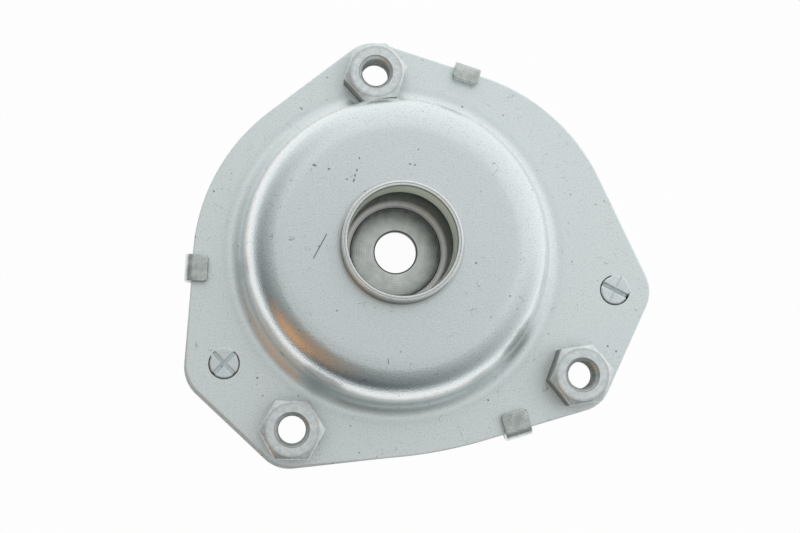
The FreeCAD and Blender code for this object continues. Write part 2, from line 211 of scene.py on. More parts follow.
def bored(piece, drums, crease=33.0):
    """Cuts upright drums (x, y, radius, bottom, top) out of a piece, each a circle of 96 points drawn down."""
    angle = np.linspace(0, 2 * math.pi, 96, endpoint=False)
    grids = []
    for x, y, radius, bottom, top in drums:
        circle = np.stack([x + radius * np.cos(angle), y + radius * np.sin(angle), 0 * angle], -1)
        grids.append((np.stack([circle + (0, 0, bottom), circle + (0, 0, top)]), False))
    tool = shell("boring_tool", *grids)
    cut = piece.modifiers.new("bore", "BOOLEAN")
    cut.operation, cut.solver, cut.object = "DIFFERENCE", "EXACT", tool
    whole = piece.data
    piece.data = bpy.data.meshes.new_from_object(piece.evaluated_get(bpy.context.evaluated_depsgraph_get()))
    piece.data.name = whole.name
    piece.modifiers.clear()
    piece.data.set_sharp_from_angle(angle=math.radians(crease))
    bpy.data.objects.remove(tool)
    bpy.data.meshes.remove(whole)


def dress(piece, material, body, slot, *nodes):
    """Gives a piece its finish, the body that it moves with, and the CAD nodes that it stands for."""
    piece.data.materials.clear()
    piece.data.materials.append(material)
    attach(piece, body)
    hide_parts(*nodes)


def colour(code):
    """Linear colour of an sRGB hex code: below 0.04045 a channel over 12.92, and above it the 2.4th power of
    the channel plus 0.055 over 1.055."""
    channel = np.array([int(code[i:i + 2], 16) for i in (1, 3, 5)]) / 255
    linear = np.where(channel < 0.04045, channel / 12.92, ((channel + 0.055) / 1.055) ** 2.4)
    return (*linear.tolist(), 1.0)


def add(tree, kind, inputs=None, **settings):
    """Adds a node with its settings. Each named or numbered input gets a value or another node's output."""
    node = tree.nodes.new(kind)
    for name, value in settings.items():
        setattr(node, name, value)
    for key, value in (inputs or {}).items():
        if isinstance(value, bpy.types.NodeSocket):
            tree.links.new(value, node.inputs[key])
        else:
            node.inputs[key].default_value = value
    return node


def ramp(tree, value, start, end, low=0.0, high=1.0):
    """A value's share of the way from start to end, held between 0 and 1 and laid from low to high."""
    return add(tree, "ShaderNodeMapRange", {
        "Value": value, "From Min": start, "From Max": end, "To Min": low, "To Max": high}).outputs[0]


def calc(tree, operation, *values):
    """One step of arithmetic on one to three values."""
    return add(tree, "ShaderNodeMath", dict(enumerate(values)), operation=operation).outputs[0]


def tint_between(tree, share, first, second):
    """Colour that goes from the first to the second as the share goes from 0 to 1."""
    return add(tree, "ShaderNodeMix", {0: share, 6: first, 7: second}, data_type="RGBA").outputs[2]


def value_between(tree, share, first, second):
    """Value that goes from the first to the second as the share goes from 0 to 1."""
    return add(tree, "ShaderNodeMix", {0: share, 2: first, 3: second}).outputs[0]


def noise(tree, place, size, detail, **more):
    """Cloudy value from 0 to 1 whose largest patches are about the size, in metres."""
    inputs = {"Vector": place, "Scale": 1 / size, "Detail": detail, **more}
    return add(tree, "ShaderNodeTexNoise", inputs).outputs[0]


def new_finish(name, **values):
    """Material with one Principled shader, whose sockets take the values. Returns material, tree and shader."""
    finish = bpy.data.materials.new(name)
    finish.use_nodes = True
    tree = finish.node_tree
    tree.nodes.clear()
    sockets = {key.replace("_", " "): value for key, value in values.items()}
    shader = add(tree, "ShaderNodeBsdfPrincipled", sockets)
    add(tree, "ShaderNodeOutputMaterial", {"Surface": shader.outputs[0]})
    return finish, tree, shader


housing_outline, housing_facing = belt(flange_circles)
seam_r = dome_r + foot_bend + housing_sheet
neck_bore_r = neck_r - neck_wall
roof_under_z = dome_height - housing_sheet
dome_section = bent_path([
    (seam_r, 0, 0),
    (dome_r, 0, foot_bend),
    (dome_r, dome_height, shoulder_bend),
    (neck_r, dome_height, 0.8),
    (neck_r, neck_rim_z, 0.6),
    (16.58, neck_rim_z, 0.05),
    (16.45, neck_rim_z - 0.08, 0.05),
    (16.32, neck_rim_z, 0.05),
    (neck_bore_r, neck_rim_z, 0.4),
    (neck_bore_r - 0.3, roof_under_z, 0.5),
    (dome_r - housing_sheet, roof_under_z, shoulder_bend - housing_sheet),
    (dome_r - housing_sheet, -housing_sheet, foot_bend + housing_sheet),
    (seam_r, -housing_sheet, 0),
], turn=6.0, spacing=2.4)
housing = shell("domed_housing", pressing(
    dome_section, housing_outline, housing_facing, 0, -housing_sheet, edge_roll))
bored(housing, [(x, y, 5.5, -3.5, 1) for x, y in nut_places.values()]
      + [(x, y, 4.65, -3.5, 1) for x, y in button_places.values()])
bored(housing, [(*nut_places["top"], 9.87, 0.003, 12.0)])

# Zinc plating over deep-drawn sheet: a pale blue-grey metal with a soft, broad gloss, slow clouding from the
# bath, fine dark specks and scratches, and a glossier shoulder where the die drew the sheet over its edge.


def near_line(tree, place, start, end, width):
    """Share that fades from 1 on a line to 0 at its width. The nearest point of the line is its start plus its
    run times the clamped share of the place's dot product with the run over the run's squared length."""
    start, end = Vector(start) / 1000, Vector(end) / 1000
    run = end - start
    away = add(tree, "ShaderNodeVectorMath", {0: place, 1: start}, operation="SUBTRACT").outputs[0]
    reach = add(tree, "ShaderNodeVectorMath", {0: away, 1: run / run.length_squared},
                operation="DOT_PRODUCT").outputs["Value"]
    reach = add(tree, "ShaderNodeMath", {0: reach, 1: 1.0}, operation="MULTIPLY", use_clamp=True).outputs[0]
    foot = add(tree, "ShaderNodeVectorMath", {0: run, "Scale": reach}, operation="SCALE").outputs[0]
    gap = add(tree, "ShaderNodeVectorMath", {0: away, 1: foot}, operation="DISTANCE").outputs["Value"]
    return ramp(tree, gap, width / 1000, width / 3000)


def zinc_plate(name, edge_low, edge_high, marks=()):
    """Finish of the plated pressings. Clouds 18 mm wide and patches of 3 mm mix two greys. Grains of 0.5 mm
    (really 0.1 mm, too fine to show), sparse specks and broken scratches darken them. Between the edge heights
    lies the sheared edge, duller and browner. With marks (start, end, width) it is the dome's: rings round
    the axis give roof, shoulder, wall, foot, flange and neck a tint and gloss of their own. Some of these rings
    are painted highlight and painted shade: a lighter band on the wall, a bright line on the neck rim's outer
    rounding, and dark lines on the neck's outer wall, at its foot, in the rim's groove and at its inner edge.
    Those were set against one photo. Without marks it is the plate's, whose raised parts are glossier and
    tabs darker and patchy."""
    finish, tree, shader = new_finish(name, Metallic=0.95)
    place = add(tree, "ShaderNodeTexCoord").outputs["Object"]
    cloud = noise(tree, place, 0.018, 3.0)
    patch = noise(tree, place, 0.003, 5.0, Roughness=0.65)
    grain = noise(tree, place, 0.0005, 2.0)
    blend = calc(tree, "ADD", cloud, patch)
    share = ramp(tree, blend, 0.7, 1.3)
    tone = tint_between(tree, share, colour("#e4edf0"), colour("#f0f8fa"))
    gloss = ramp(tree, patch, 0.3, 0.7, 0.48, 0.62)
    spot = add(tree, "ShaderNodeSeparateXYZ", {"Vector": place})
    height = spot.outputs["Z"]
    if marks:
        flat = add(tree, "ShaderNodeCombineXYZ", {"X": spot.outputs["X"], "Y": spot.outputs["Y"]}).outputs[0]
        reach = add(tree, "ShaderNodeVectorMath", {0: flat}, operation="LENGTH").outputs["Value"]
        # Each ring: nearest and farthest from the axis, fade, lowest height, tint and roughness, in metres. Six
        # of the tints are painted highlight and painted shade, as marked below.
        for nearest, farthest, fade, lowest, tint, rough in (
                (0.0000, 0.0345, 0.0015, 0.0150, "#ebf3f5", 0.36),
                (0.0345, 0.0480, 0.0015, 0.0050, "#ebf3f5", 0.20),
                # painted highlight: a lighter band on the dome's lower wall
                (0.0431, 0.0480, 0.0006, 0.0050, "#fbfdfc", 0.33),
                (0.0457, 0.0505, 0.0008, -0.0010, "#f6feff", 0.38),
                (0.0510, 0.1000, 0.0015, -0.0010, "#f6feff", 0.55),
                (0.0154, 0.0168, 0.0001, 0.0212, "#eef4f4", 0.26),
                (0.0168, 0.0186, 0.0002, 0.0203, "#e6edee", 0.42),
                # painted shade: a darker band on the neck's outer wall
                (0.0171, 0.0176, 0.0001, 0.0203, "#c4c7c2", 0.40),
                # painted highlight: a bright line on the neck rim's outer rounding
                (0.0168, 0.01715, 0.0001, 0.0258, "#fbfcfa", 0.34),
                # painted shade: a dark line in the bend at the neck's foot
                (0.0178, 0.0182, 0.0002, 0.0203, "#b0b3b0", 0.45),
                # painted shade: a dark line in the rim's groove
                (0.01635, 0.01655, 0.0001, 0.0255, "#bfc3c1", 0.35),
                (0.0100, 0.0157, 0.0001, 0.0175, "#cfd5c1", 0.35),
                # painted shade: a dark line at the rim's inner edge
                (0.01555, 0.01572, 0.00005, 0.0255, "#8b8d86", 0.35)):
            inner = ramp(tree, reach, nearest - fade, nearest + fade)
            outer = ramp(tree, reach, farthest - fade, farthest + fade, 1.0, 0.0)
            above = ramp(tree, height, lowest, lowest + 0.0005)
            zone = calc(tree, "MULTIPLY", inner, outer)
            zone = calc(tree, "MULTIPLY", zone, above)
            tone = tint_between(tree, zone, tone, colour(tint))
            gloss = value_between(tree, zone, gloss, rough)
    else:
        # Above the flange, on the tabs: a darker, patchy grey tone and a lower roughness.
        bent = ramp(tree, height, 0.0003, 0.0008)
        patchy = ramp(tree, patch, 0.38, 0.62)
        darker_tab_tone = tint_between(tree, patchy, colour("#bac1bd"), colour("#dce2df"))
        tone = tint_between(tree, bent, tone, darker_tab_tone)
        raised = ramp(tree, height, -0.0012, -0.0010)
        gloss = value_between(tree, raised, gloss, 0.36)
        gloss = value_between(tree, bent, gloss, 0.25)
    cells = add(tree, "ShaderNodeTexVoronoi", {"Vector": place, "Scale": 1 / 0.0026})
    speck = ramp(tree, cells.outputs["Distance"], 0.06, 0.16, 1.0, 0.0)
    chosen = add(tree, "ShaderNodeSeparateXYZ", {"Vector": cells.outputs["Color"]}).outputs["X"]
    chosen = ramp(tree, chosen, 0.80, 1.0)
    speck = calc(tree, "MULTIPLY", speck, chosen)
    scratch = noise(tree, place, 0.007, 1.0, Distortion=1.5)
    scratch = calc(tree, "SUBTRACT", scratch, 0.5)
    scratch = calc(tree, "ABSOLUTE", scratch)
    scratch = ramp(tree, scratch, 0.002, 0.007, 0.55, 0.0)
    worn = ramp(tree, patch, 0.50, 0.60)
    scratch = calc(tree, "MULTIPLY", scratch, worn)
    speck = calc(tree, "MAXIMUM", speck, scratch)
    depth = ramp(tree, grain, 0.50, 0.80, 0.0, 0.26)
    depth = calc(tree, "MAXIMUM", depth, speck)
    tone = tint_between(tree, depth, tone, colour("#8d9392"))
    low = ramp(tree, height, edge_low, edge_low + 0.0002)
    high = ramp(tree, height, edge_high - 0.0002, edge_high, 1.0, 0.0)
    cut = calc(tree, "MULTIPLY", low, high)
    tone = tint_between(tree, cut, tone, colour("#96918a"))
    for start, end, width in marks:
        mark = near_line(tree, place, start, end, width)
        tone = tint_between(tree, mark, tone, colour("#868a88"))
    tree.links.new(tone, shader.inputs["Base Color"])
    tree.links.new(gloss, shader.inputs["Roughness"])
    relief = calc(tree, "MULTIPLY_ADD", patch, 0.8, grain)
    bump = add(tree, "ShaderNodeBump", {"Height": relief, "Strength": 0.4, "Distance": 0.00012})
    tree.links.new(bump.outputs[0], shader.inputs["Normal"])
    return finish


dome_marks = [
    ((-24.9, -4.5, 20.5), (-21.3, 2.3, 20.5), 0.24),
    ((-25.2, 22.4, 20.5), (-24.6, 22.2, 20.5), 0.41),
    ((-20.9, 21.2, 20.5), (-20.6, 21.3, 20.5), 0.34),
    ((-12.7, 21.2, 20.5), (-12.8, 20.9, 20.5), 0.31),
    ((-13.3, 19.8, 20.5), (-13.3, 19.4, 20.5), 0.27),
    ((-13.5, 18.4, 20.5), (-13.7, 17.8, 20.5), 0.31),
    ((-12.1, 24.8, 20.5), (-12.0, 24.4, 20.5), 0.24),
    ((2.5, 23.2, 20.5), (2.7, 23.1, 20.5), 0.31),
    ((3.9, 22.9, 20.5), (4.1, 22.9, 20.5), 0.31),
    ((17.1, 35.4, 20.3), (17.4, 35.4, 20.3), 0.37),
    ((21.5, -5.4, 20.5), (21.6, -5.4, 20.5), 0.37),
    ((31.3, -14.8, 20.5), (31.4, -14.8, 20.5), 0.34),
    ((-3.7, -33.0, 20.5), (-3.5, -34.4, 20.5), 0.17),
    ((-2.9, 41.5, 18.6), (1.6, 37.2, 20.0), 0.17),
    ((-30.8, 35.6, 16.2), (-30.3, 35.3, 16.2), 0.41),
    ((-28.9, 44.3, 0), (-28.5, 44.0, 0), 0.27),
    ((-47.3, 3.1, 0), (-46.6, 2.8, 0), 0.34),
    ((-40.9, -37.7, 0), (-40.8, -37.8, 0), 0.34),
    ((28.0, -44.1, 0), (28.1, -44.2, 0), 0.34),
]
dome_finish = zinc_plate("zinc_plated_dome", -0.0025, -0.0001, dome_marks)
dress(housing, dome_finish, "housing", "zinc_steel", "upper_housing")


# The lower plate: a second pressing of 2 mm sheet under the flange, zinc plated too. Its middle is a dish
# for the rubber, three tabs at its edge are folded over the flange, and two buttons half-sheared out of it
# stand in the flange's holes and are staked with a cross.

plate_sheet = 2.0
plate_top_z = -housing_sheet
plate_under_z = plate_top_z - plate_sheet
plate_lip = 0.9
dish_r = 40.0
dish_floor_z = plate_top_z - 13.5
dish_opening_r = 25.0
tab_width = 8.2
tab_gap = 0.15
tab_bend = 3.1
tab_places = {"right": 5.5, "left": 4.6, "bottom": 10.6}
tab_reaches = {"right": 4.0, "left": 5.0, "bottom": 6.1}
button_r = 4.3
stake_turns = {"left": 45.0, "right": -27.0}
open_sides = {"left": 95.0, "right": 45.0}
cross_depths = {"left": 0.65, "right": 0.30}

lip_facing = leaving_directions(flange_circles)[2]
plate_circles = [
    (x + plate_lip * math.cos(lip_facing), y + plate_lip * math.sin(lip_facing), r) if i in (2, 3) else (x, y, r)
    for i, (x, y, r) in enumerate(flange_circles)
]
plate_outline, plate_facing = belt(plate_circles)
plate_section = bent_path([
    (dish_r + 3.0, plate_top_z, 0),
    (dish_r - plate_sheet, plate_top_z, 3.0),
    (dish_r - plate_sheet, dish_floor_z, 3.0),
    (dish_opening_r, dish_floor_z, 0.5),
    (dish_opening_r, dish_floor_z - plate_sheet, 0.5),
    (dish_r, dish_floor_z - plate_sheet, 5.0),
    (dish_r, plate_under_z, 1.0),
    (dish_r + 3.0, plate_under_z, 0),
], turn=6.0, spacing=2.4)
plate = shell("dished_plate", pressing(
    plate_section, plate_outline, plate_facing, plate_top_z, plate_under_z, 0.3))
bored(plate, [(x, y, 5.5, -6, -1) for x, y in nut_places.values()]
      + [(x, y, 4.05, -6, -1) for x, y in button_places.values()])


def folded_tab(side):
    """Rows of a tab. The closed hem section, across and up from the flange's edge, is carried along the edge;
    near both ends it shrinks along its own outward directions by a quarter circle, which rounds the tab. The
    last 1.4 mm of the flap draws in by the sine of its share of that length, squared, so its corners are cut."""
    outer = tab_gap + plate_sheet
    root = -0.6
    hem = bent_path([
        (root, plate_under_z + 0.02, 0),
        (outer, plate_under_z + 0.02, tab_bend),
        (outer, plate_sheet, tab_bend),
        (-tab_reaches[side], plate_sheet, 0.6),
        (-tab_reaches[side], 0.02, 0.3),
        (tab_gap, 0.02, 0.4),
        (tab_gap, plate_top_z - 0.02, 0.4),
        (root, plate_top_z - 0.02, 0),
    ], closed=True, turn=9.0, spacing=0.8)
    along_hem = np.roll(hem, -1, axis=0) - np.roll(hem, 1, axis=0)
    outward = np.stack([along_hem[:, 1], -along_hem[:, 0]], 1) / np.linalg.norm(along_hem, axis=1)[:, None]
    turns = np.radians(np.linspace(0, 90, 5))
    soft = 0.35
    shrink = soft * (1 - np.sin(turns))
    ends = soft * (1 - np.cos(turns))
    stations = np.concatenate([ends, np.linspace(soft, tab_width - soft, 7)[1:-1], tab_width - ends[::-1]])
    shrink = np.concatenate([shrink, np.zeros(5), shrink[::-1]])
    rows = hem - shrink[:, None, None] * outward
    circle_x, circle_y, r = side_circles[side]
    facing = leaving_directions(flange_circles)[{"left": 1, "bottom": 4, "right": 7}[side]]
    across = r + rows[..., 0]
    free = np.clip((1.4 - tab_reaches[side] - rows[..., 0]) / 1.4, 0, 1) * (rows[..., 1] > -0.5)
    along = tab_places[side] + (stations[:, None] - tab_width / 2) * (1 - 0.28 * free ** 2)
    x = circle_x + across * math.cos(facing) - along * math.sin(facing)
    y = circle_y + across * math.sin(facing) + along * math.cos(facing)
    return np.dstack([x, y, rows[..., 1]]), False


def staked_button(name):
    """Rows of a button, from the middle of its top out and down to its foot and up inside the punch's pocket.
    The top is its level less the deeper of two crossed vees, 0.8 mm and the button's own depth, each less
    1.05 times the distance from its line and softened where it meets the level. On its open side the rim is
    spread to fill the hole."""
    angle = np.linspace(0, 2 * math.pi, 120, endpoint=False)
    x0, y0 = button_places[name]
    reach = np.concatenate([
        np.linspace(0.05, 1, 26) * (button_r - 0.35), [button_r - 0.15, button_r, button_r]])
    level = np.concatenate([np.full(26, 0.15), [0.08, -0.1, -3.4]])[:, None]
    spread = np.clip((np.cos(angle - math.radians(open_sides[name])) - 0.45) / 0.3, 0, 1)
    reach = reach[:, None] + 0.6 * spread * np.clip(reach[:, None] - button_r + 1.5, 0, 1.5) / 1.5
    level = np.where((level < 0.15) & (level > -1), level + (0.03 - level) * spread, level)
    flat_x, flat_y = reach * np.cos(angle), reach * np.sin(angle)
    turn = math.radians(stake_turns[name])
    first = np.abs(flat_y * math.cos(turn) - flat_x * math.sin(turn))
    second = np.abs(flat_x * math.cos(turn) + flat_y * math.sin(turn))
    vee = np.maximum(0.8 - first * 1.05, cross_depths[name] - second * 1.05)
    vee = np.where(level > -1, (vee + np.sqrt(vee ** 2 + 0.01)) / 2, 0)
    top = level - vee
    pocket = np.stack([np.array([4.0, 4.0, 3.6]), np.array([-3.4, -2.15, -1.85])])
    pocket_x, pocket_y = pocket[0][:, None] * np.cos(angle), pocket[0][:, None] * np.sin(angle)
    x = x0 + np.concatenate([flat_x, pocket_x])
    y = y0 + np.concatenate([flat_y, pocket_y])
    z = np.concatenate([top, np.broadcast_to(pocket[1][:, None], pocket_x.shape)])
    return np.dstack([x, y, z]), False


raised = shell("raised", *[folded_tab(side) for side in tab_places],
               *[staked_button(name) for name in button_places])
whole = bmesh.new()
whole.from_mesh(plate.data)
whole.from_mesh(raised.data)
whole.to_mesh(plate.data)
whole.free()
bpy.data.objects.remove(raised)
dress(plate, zinc_plate("zinc_plated_sheet", -0.0045, -0.0026), "housing", "zinc_steel", "lower_plate")


# The three captive nuts: M10 hexagons of 17 mm across flats, cold formed, tapped and zinc plated, which are
# projection welded to the flange with a collar in its hole. The face is turned to a 30 degree chamfer.

nut_apothem = 8.5
nut_height = 8.0
nut_face_r = 7.8
thread_r = 4.02
thread_depth = 0.62
thread_pitch = 1.5
nut_turns = {"top": 12.0, "left": 0.0, "right": 9.0}


def hex_nut(name):
    """Rows of a nut, round its section at every direction. The hexagon's reach is the apothem over the cosine
    from the flat's middle, and near a corner that of a circle of 0.35 mm set into it. The bore's reach is the
    thread, a cosine of height less direction, or the mouth's or foot's cone where that is wider. The edge
    above a side is a quadratic curve that leaves the slope and meets the side, each 0.28 mm from their corner.
    The painted shade darkens the sides, most towards their foot, the mouth, the thread's grooves, and lightly
    the rims of face and edge; a light line is left at the sides' very foot."""
    soft = 0.35
    corner_d = (nut_apothem - soft) / math.cos(math.pi / 6)
    touch = math.pi / 6 - math.atan2((nut_apothem - soft) * math.tan(math.pi / 6), nut_apothem)
    sector = np.concatenate([
        np.linspace(-math.pi / 6, -touch, 16)[:-1], np.linspace(-touch, touch, 8)[:-1],
        np.linspace(touch, math.pi / 6, 16)[:-1]])
    off = np.tile(sector, 6)
    angle = off + np.repeat(np.arange(6), len(sector)) * math.pi / 3 + math.radians(nut_turns[name])
    flat = nut_apothem / np.cos(math.pi / 6 - np.abs(off))
    rounded = corner_d * np.cos(off) + np.sqrt(np.maximum(soft ** 2 - (corner_d * np.sin(off)) ** 2, 0))
    side_r = np.where(np.abs(off) < touch, rounded, flat)
    slope = math.tan(math.radians(30))
    edge_z = nut_height - (side_r - nut_face_r) * slope

    bore_z = np.linspace(-1.2, nut_height, 104)[:, None]
    wave = 0.5 + 0.5 * np.cos(2 * math.pi * bore_z / thread_pitch - angle)
    thread = thread_r + thread_depth * wave
    depth = nut_height - bore_z
    mouth = np.where(depth < 0.15, 5.0, 4.85 - (depth - 0.15) * 0.9)
    foot = thread_r + 0.9 - (bore_z + 1.2) * 0.7
    bore_r = np.maximum(np.maximum(thread, mouth), foot)
    face_r = np.array([5.06, 5.14, 5.24, 5.9, 6.9, nut_face_r - 0.1])[:, None] + 0 * angle
    share = np.linspace(0, 1, 6)[:, None]
    slant_r = nut_face_r + 0.05 + share * (side_r - 0.28 - nut_face_r - 0.05)
    turn = np.array([0.25, 0.5, 0.75, 1.0])[:, None]
    rim_r = side_r - 0.28 * (1 - turn) ** 2
    rim_z = edge_z + 0.28 * slope * (1 - turn) ** 2 - 0.28 * turn ** 2
    side_z = (edge_z - 0.28) * np.array([0.8, 0.5, 0.25, 0.08, 0])[:, None]
    around_r = np.stack([side_r] * 4 + [side_r - 0.1])
    collar = np.array([[5.3, 0.0], [5.3, -0.6], [5.3, -1.1], [5.2, -1.2]])
    reach = np.concatenate([bore_r, face_r, slant_r, rim_r, around_r, collar[:, :1] + 0 * angle])
    z = np.concatenate([
        bore_z + 0 * angle, nut_height + 0 * face_r, nut_height - (slant_r - nut_face_r) * slope,
        rim_z, side_z, collar[:, 1:] + 0 * angle])
    # painted shade: these values darken the thread's grooves, the mouth, the sides and the rims
    painted_groove_shade = 0.5 + 0.5 * np.clip((bore_r - thread_r) / thread_depth, 0, 1)
    painted_shade = np.concatenate([
        np.where(depth < 0.15, 1.0, np.where(depth < 0.9, 0.1, painted_groove_shade)),
        np.array([1.0, 0.7, 0, 0, 0, 0.35])[:, None] + 0 * angle,
        0 * slant_r + 0.35 * (share == 0), 0 * rim_r + 0.3 * (turn > 0.6),
        np.array([0.7, 0.8, 0.9, 0.9, 0.1])[:, None] + 0 * angle,
        np.ones((4, len(angle)))])
    x0, y0 = nut_places[name]
    return np.dstack([x0 + reach * np.cos(angle), y0 + reach * np.sin(angle), z]), painted_shade


# Zinc on a cold-formed nut: brighter and closer grained than the sheet. Where the painted shade is high, as on
# the sides and in the bore, the colour is painted darker, the metal is duller, and its glancing reflection is
# painted darker as well.
nut_finish, tree, shader = new_finish("zinc_plated_nut", Metallic=0.94)
place = add(tree, "ShaderNodeTexCoord").outputs["Object"]
patch = noise(tree, place, 0.0016, 4.0, Roughness=0.7)
share = ramp(tree, patch, 0.35, 0.65)
tone = tint_between(tree, share, colour("#dae3e5"), colour("#f8fdfd"))
# painted shade: the colour goes to a dark grey where the painted shade is high
painted_shade = add(tree, "ShaderNodeAttribute", attribute_name="painted_shade").outputs["Fac"]
tone = tint_between(tree, painted_shade, tone, colour("#a2a6a0"))
tree.links.new(tone, shader.inputs["Base Color"])
# painted shade: the glancing reflection's tint is darkened by the same painted shade
painted_shade_edge_tint = tint_between(tree, painted_shade, colour("#ffffff"), colour("#8a8a80"))
tree.links.new(painted_shade_edge_tint, shader.inputs["Specular Tint"])
gloss = ramp(tree, patch, 0.3, 0.7, 0.34, 0.52)
gloss = value_between(tree, painted_shade, gloss, 0.5)
tree.links.new(gloss, shader.inputs["Roughness"])
bump = add(tree, "ShaderNodeBump", {"Height": patch, "Strength": 0.35, "Distance": 0.0001})
tree.links.new(bump.outputs[0], shader.inputs["Normal"])

for name in nut_places:
    rows, painted_shade = hex_nut(name)
    nut = shell("hex_nut_" + name, rows, crease=28.0, painted_shade=painted_shade)
    dress(nut, nut_finish, "housing", "nut_steel", "weld_nut_" + name)


# The rod bush: a disc turned from bar, which the damper's rod is bolted through. Its spigot sits in the
# bearing's inner race, so it turns with the strut.

bush_disc_r = 13.5
bush_bore_r = 6.25
bush_face_z = 1.7
bearing_top_z = -1.8
bearing_under_z = bearing_top_z - 10.0
spigot_r = 8.48
spigot_bore_r = spigot_r - 0.73
bush_land_z = bush_face_z - 2.1
bush = shell("rod_bush", turned(bent_path([
    (bush_bore_r, bush_face_z, 0.4),
    (9.8, bush_face_z - 0.03, 50.0),
    (bush_disc_r, bush_face_z - 0.3, 0.4),
    (bush_disc_r, bearing_top_z + 0.5, 0.1),
    (11.0, bearing_top_z + 0.5, 0),
    (11.0, bearing_top_z, 0),
    (spigot_r, bearing_top_z, 0),
    (spigot_r, bearing_top_z - 5.7, 0.3),
    (spigot_bore_r, bearing_top_z - 5.7, 0.2),
    (spigot_bore_r, bush_land_z - (spigot_bore_r - bush_bore_r), 0),
    (bush_bore_r, bush_land_z, 0),
], closed=True, turn=15.0, spacing=1.0)))

# Turned steel, lightly plated: fine rings left by the tool, drawn about 0.7 mm apart so that they show, and
# a darker ring round the bore.
turned_finish, tree, shader = new_finish("turned_steel", Metallic=0.92)
place = add(tree, "ShaderNodeTexCoord").outputs["Object"]
rings = add(tree, "ShaderNodeTexWave", {
    "Vector": place, "Scale": 1 / 0.0022, "Distortion": 4.0, "Detail": 3.0, "Detail Scale": 0.6},
            wave_type="RINGS", rings_direction="Z").outputs["Fac"]
patch = noise(tree, place, 0.0025, 4.0)
mixed = calc(tree, "MULTIPLY_ADD", rings, 0.22, patch)
share = ramp(tree, mixed, 0.35, 0.85)
tone = tint_between(tree, share, colour("#ccd4d0"), colour("#f4f9f6"))
spot = add(tree, "ShaderNodeSeparateXYZ", {"Vector": place})
flat = add(tree, "ShaderNodeCombineXYZ", {"X": spot.outputs["X"], "Y": spot.outputs["Y"]}).outputs[0]
reach = add(tree, "ShaderNodeVectorMath", {0: flat}, operation="LENGTH").outputs["Value"]
# a darker ring round the bore's edge
dark_bore_ring = ramp(tree, reach, 0.0066, 0.00675, 1.0, 0.0)
tone = tint_between(tree, dark_bore_ring, tone, colour("#6f716c"))
tree.links.new(tone, shader.inputs["Base Color"])
gloss = ramp(tree, mixed, 0.0, 1.0, 0.26, 0.38)
tree.links.new(gloss, shader.inputs["Roughness"])
bump = add(tree, "ShaderNodeBump", {"Height": mixed, "Strength": 0.12, "Distance": 0.0001})
tree.links.new(bump.outputs[0], shader.inputs["Normal"])
dress(bush, turned_finish, "swivel", "turned_steel", "centre_bush")


# The inner cup and the bearing's seat: two drawings of 1.5 mm steel, welded floor to floor. The cup's wide
# flange lies between the rubber cushions, and the seat below it holds the bearing with a crimped edge.

core_hole_r = bush_disc_r + 0.45
cup_sheet = 1.5
cup_floor_z = 1.2
cup_inner_r = 17.0
cup_flange_z = 10.0
cup_flange_r = 34.0
seat_r = 17.5 + 0.02 + 1.5
cup = shell("inner_cup_drawing", turned(bent_path([
    (core_hole_r - 0.25, cup_floor_z, 0.2),
    (cup_inner_r, cup_floor_z, 3.0),
    (cup_inner_r, cup_flange_z, 3.0),
    (cup_flange_r, cup_flange_z, 0.4),
    (cup_flange_r, cup_flange_z - cup_sheet, 0.4),
    (cup_inner_r + cup_sheet, cup_flange_z - cup_sheet, 1.5),
    (cup_inner_r + cup_sheet, cup_floor_z - cup_sheet, 4.2),
    (core_hole_r - 0.25, cup_floor_z - cup_sheet, 0),
], closed=True, turn=7.0)))
seat = shell("bearing_seat_drawing", turned(bent_path([
    (core_hole_r, bearing_top_z + 1.5, 0),
    (seat_r, bearing_top_z + 1.5, 2.0),
    (seat_r, bearing_under_z - 1.5, 1.2),
    (16.3, bearing_under_z - 1.5, 0.4),
    (16.3, bearing_under_z, 0),
    (seat_r - 1.5, bearing_under_z, 0),
    (seat_r - 1.5, bearing_top_z, 0.5),
    (core_hole_r, bearing_top_z, 0),
], closed=True, turn=9.0)))

# Drawn and plated steel: a streaky grey, the streaks running up the wall as the die left them, and painted
# shade that darkens the wall, and makes it rougher, higher up towards the rubber, under the neck.
drawn_finish, tree, shader = new_finish("drawn_steel", Metallic=0.92)
place = add(tree, "ShaderNodeTexCoord").outputs["Object"]
streak_place = add(tree, "ShaderNodeMapping", {"Vector": place, "Scale": (1.0, 1.0, 0.15)}).outputs[0]
streak = noise(tree, streak_place, 0.0012, 3.0)
tone = tint_between(tree, streak, colour("#c6cac9"), colour("#efebe7"))
height = add(tree, "ShaderNodeSeparateXYZ", {"Vector": place}).outputs["Z"]
# painted shade: darker and rougher higher up the cup's wall, under the neck
painted_wall_shade = ramp(tree, height, 0.001, 0.0080)
tone = tint_between(tree, painted_wall_shade, tone, colour("#7d888a"))
tree.links.new(tone, shader.inputs["Base Color"])
gloss = ramp(tree, streak, 0.0, 1.0, 0.32, 0.42)
gloss = value_between(tree, painted_wall_shade, gloss, 0.6)
tree.links.new(gloss, shader.inputs["Roughness"])
bump = add(tree, "ShaderNodeBump", {"Height": streak, "Strength": 0.15, "Distance": 0.0001})
tree.links.new(bump.outputs[0], shader.inputs["Normal"])
dress(cup, drawn_finish, "core", "drawn_steel", "inner_cup")
dress(seat, drawn_finish, "core", "drawn_steel", "bearing_seat")


# The ball bearing, 17 x 35 x 10 mm: two hardened and ground races with a track, ten balls in a riveted
# ribbon cage, and two rubber-faced seals in steps of the outer race.

ball_r = 2.38
pitch_r = 13.0
track_r = ball_r + 0.15
bearing_mid_z = bearing_top_z - 5.0
land_gap = 1.65
track_half = math.sqrt(track_r ** 2 - land_gap ** 2)


